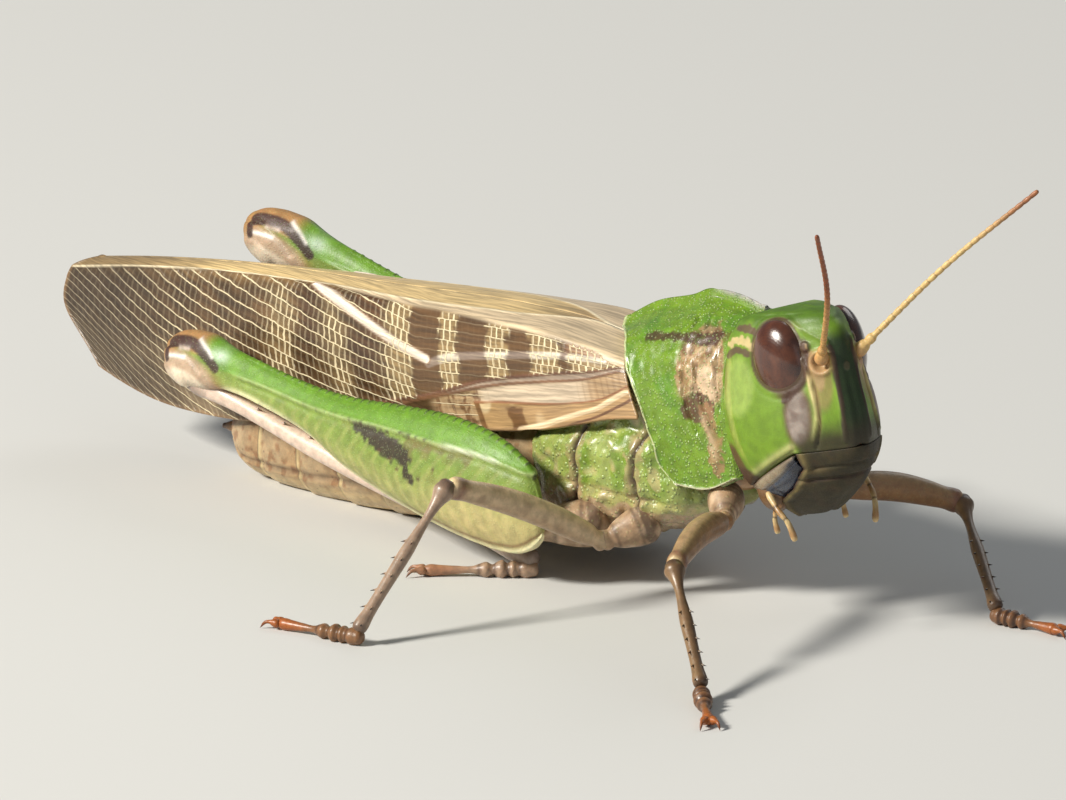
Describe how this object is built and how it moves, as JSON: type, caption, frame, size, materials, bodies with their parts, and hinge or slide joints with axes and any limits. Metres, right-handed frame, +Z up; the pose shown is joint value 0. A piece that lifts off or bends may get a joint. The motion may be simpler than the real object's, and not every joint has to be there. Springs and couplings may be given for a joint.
{
  "type": "grasshopper model",
  "caption": "Life-size still model of a green migratory locust, standing on the ground with folded brown wings and its head turned to its right.",
  "frame": {"origin": "on the floor under the middle of the bounding box", "axes": "+X towards the head, +Y towards the animal's left, +Z up"},
  "size_m": [0.0702, 0.041, 0.0262],
  "materials": {
    "green_cuticle": "leaf green with a soft gloss",
    "green_flank": "green with brown seams, finely pitted",
    "green_thigh": "green above, cream and brown below",
    "chestnut_eye": "polished chestnut brown",
    "ochre_feeler": "satin orange brown",
    "olive_lip": "satin olive tan",
    "slate_jaw": "satin slate blue",
    "tan_cuticle": "satin tan",
    "pink_cuticle": "satin pinkish cream",
    "fawn_leg": "satin fawn",
    "russet_foot": "satin russet",
    "wing_membrane": "veined brown membrane",
    "clear_membrane": "thin smoky membrane"
  },
  "bodies": {
    "root": {"abdomen": "pink_cuticle", "antenna_l": "ochre_feeler", "antenna_r": "ochre_feeler", "cercus_l": "tan_cuticle", "cercus_r": "tan_cuticle", "eye_l": "chestnut_eye", "eye_r": "chestnut_eye", "foreleg_l_coxa": "tan_cuticle", "foreleg_l_femur": "fawn_leg", "foreleg_l_tarsus": "russet_foot", "foreleg_l_tibia": "pink_cuticle", "foreleg_r_coxa": "tan_cuticle", "foreleg_r_femur": "fawn_leg", "foreleg_r_tarsus": "russet_foot", "foreleg_r_tibia": "pink_cuticle", "head": "green_cuticle", "hindleg_l_coxa": "tan_cuticle", "hindleg_l_femur": "green_thigh", "hindleg_l_tarsus": "russet_foot", "hindleg_l_tibia": "pink_cuticle", "hindleg_r_coxa": "tan_cuticle", "hindleg_r_femur": "green_thigh", "hindleg_r_tarsus": "russet_foot", "hindleg_r_tibia": "pink_cuticle", "hindwing_l": "clear_membrane", "hindwing_r": "clear_membrane", "labrum": "olive_lip", "mandible_l": "slate_jaw", "mandible_r": "slate_jaw", "midleg_l_coxa": "tan_cuticle", "midleg_l_femur": "fawn_leg", "midleg_l_tarsus": "russet_foot", "midleg_l_tibia": "pink_cuticle", "midleg_r_coxa": "tan_cuticle", "midleg_r_femur": "fawn_leg", "midleg_r_tarsus": "russet_foot", "midleg_r_tibia": "pink_cuticle", "palp_l": "tan_cuticle", "palp_r": "tan_cuticle", "pronotum": "green_cuticle", "prothorax": "tan_cuticle", "tegmen_l": "wing_membrane", "tegmen_r": "wing_membrane", "thorax": "green_flank", "valve_lower": "tan_cuticle", "valve_upper": "tan_cuticle"}
  },
  "joints": []
}
